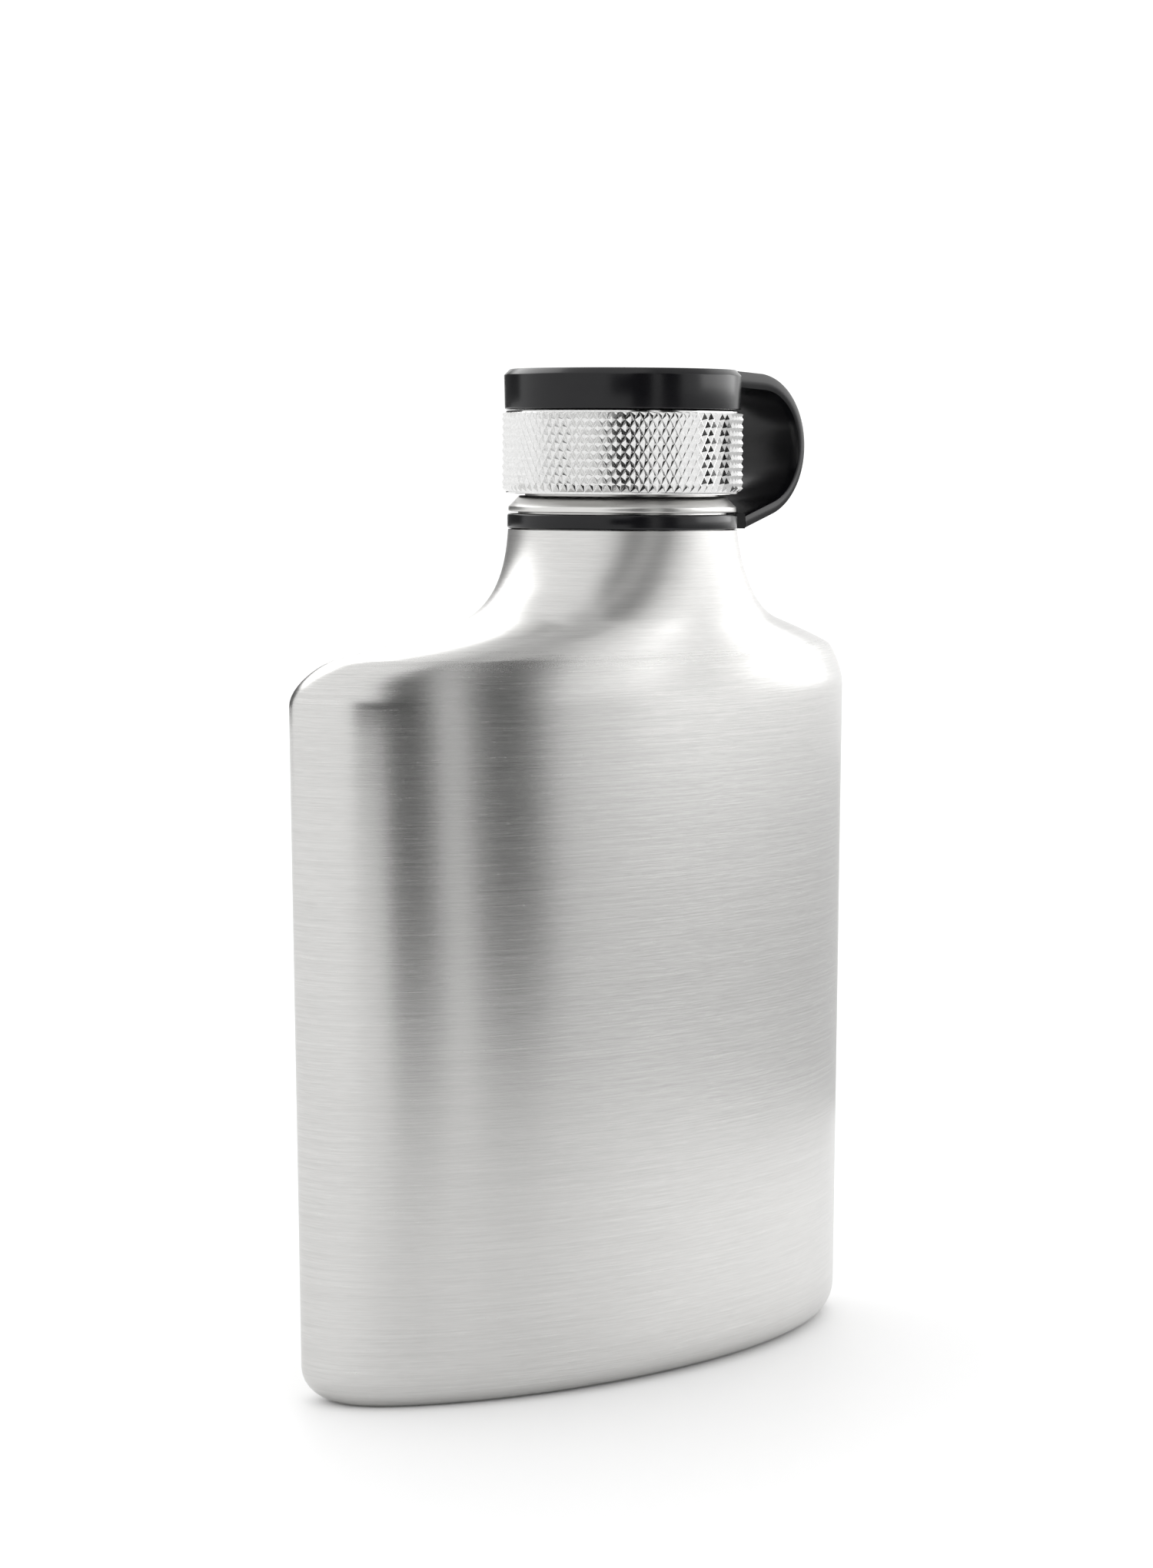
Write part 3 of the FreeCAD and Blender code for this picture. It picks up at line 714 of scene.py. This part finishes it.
def make_camera():
    """Level with the cap, from the front left, looking a little down."""
    ahead = Vector((math.sin(CAMERA_TURN), math.cos(CAMERA_TURN), 0))
    right = Vector((math.cos(CAMERA_TURN), -math.sin(CAMERA_TURN), 0))
    up = Vector((0, 0, 1))
    place = -ahead * CAMERA_DISTANCE + right * CAMERA_SIDE + up * CAMERA_HEIGHT
    look = ahead * math.cos(CAMERA_PITCH) - up * math.sin(CAMERA_PITCH)
    top = up * math.cos(CAMERA_PITCH) + ahead * math.sin(CAMERA_PITCH)
    rolled_right = right * math.cos(CAMERA_ROLL) + top * math.sin(CAMERA_ROLL)
    rolled_top = top * math.cos(CAMERA_ROLL) - right * math.sin(CAMERA_ROLL)
    data = bpy.data.cameras.new("camera")
    data.sensor_width = SENSOR_WIDTH
    data.lens = LENS
    data.clip_start = 0.01
    camera = bpy.data.objects.new("camera", data)
    camera.matrix_world = Matrix((rolled_right, rolled_top, -look)).transposed().to_4x4()
    camera.location = place
    scene.collection.objects.link(camera)
    scene.camera = camera


CARD_STEPS = 24
CARD_EDGE = 0.29
CARD_FAR = 1.2
CARD_TOP = 1.25
CARD_GAP = 0.0005
TALL_FLAG = [(CARD_EDGE, CARD_GAP), (CARD_FAR, CARD_GAP), (CARD_FAR, CARD_TOP)]
# Name, strength, first and last direction in degrees to the right of the camera, and the
# radius-height profile. A strength of 0 is a black flag.
CARDS = (
    ("near_flag", 0.0, 8, 28, TALL_FLAG),
    ("side_flag", 0.0, 37, 57, TALL_FLAG),
    ("camera_flag", 0.0, -12, 8, [(0.5, 0.05), (0.5, 0.19)]),
    ("left_back_flag", 0.1, -165, -118, [(0.7, 0.05), (0.7, 0.35)]),
    ("right_floor_flag", 0.7, 57, 165, [(0.2, CARD_GAP), (1.1, CARD_GAP)]),
    ("top_right_flag", 0.62, 25, 150, [(0.9, 0.95), (0.25, 1.15)]),
    ("right_panel", 3.6, 80, 138, [(0.8, 0.1), (0.8, 0.5)]),
    ("left_top_panel", 3.0, -190, -108, [(0.9, 0.5), (0.6, 1.1)]),
)
FLOOR_SIZE = 3.0
WORLD_STRENGTH = 1.16


def stage_card(name, strength, first, last, profile):
    """A studio card bent round the flask: a profile swept between two directions."""
    bm = bmesh.new()
    verts = [add_corner(bm, radius, z) for radius, z in profile]
    edges = [bm.edges.new(pair) for pair in zip(verts, verts[1:])]
    start = math.radians(first) - math.pi / 2 - CAMERA_TURN
    bmesh.ops.rotate(bm, verts=verts, cent=(0, 0, 0), matrix=Matrix.Rotation(start, 3, "Z"))
    bmesh.ops.spin(bm, geom=verts + edges, cent=(0, 0, 0), axis=(0, 0, 1),
                   angle=math.radians(last - first), steps=CARD_STEPS)
    glow = Finish(name, Base_Color=(0.003, 0.003, 0.003, 1), Roughness=1.0, Specular_IOR_Level=0.0,
                  Emission_Color=(1, 1, 1, 1), Emission_Strength=strength)
    card = new_object(name, bm, glow.material)
    card.visible_camera = False
    card.visible_shadow = False
    card.visible_diffuse = False


def make_floor():
    """Plain white table."""
    bm = bmesh.new()
    bmesh.ops.create_grid(bm, x_segments=1, y_segments=1, size=FLOOR_SIZE)
    white = Finish("floor", Base_Color=(0.97, 0.97, 0.97, 1), Roughness=0.55, Specular_IOR_Level=0.25)
    new_object("floor", bm, white.material)


def make_light():
    """White studio: bright surround, dark gaps in front and to the right of the camera, a strong
    panel on the right and a softer one above on the left."""
    scene.view_settings.view_transform = "Standard"
    world = bpy.data.worlds.new("studio")
    world.use_nodes = True
    background = world.node_tree.nodes["Background"]
    background.inputs["Color"].default_value = (1, 1, 1, 1)
    background.inputs["Strength"].default_value = WORLD_STRENGTH
    scene.world = world
    for card in CARDS:
        stage_card(*card)


FINISHES = {make.__name__: make() for make in (
    brushed_steel, turned_steel, knurled_steel, tether_plastic, liner_plastic, silicone)}

make_camera()
make_body()
dress_base()
make_neck()
make_cap_shell()
make_cap_liner()
make_gasket()
make_rivet()
make_washer()
make_disc()
make_ring()
make_strap()
make_floor()
make_light()
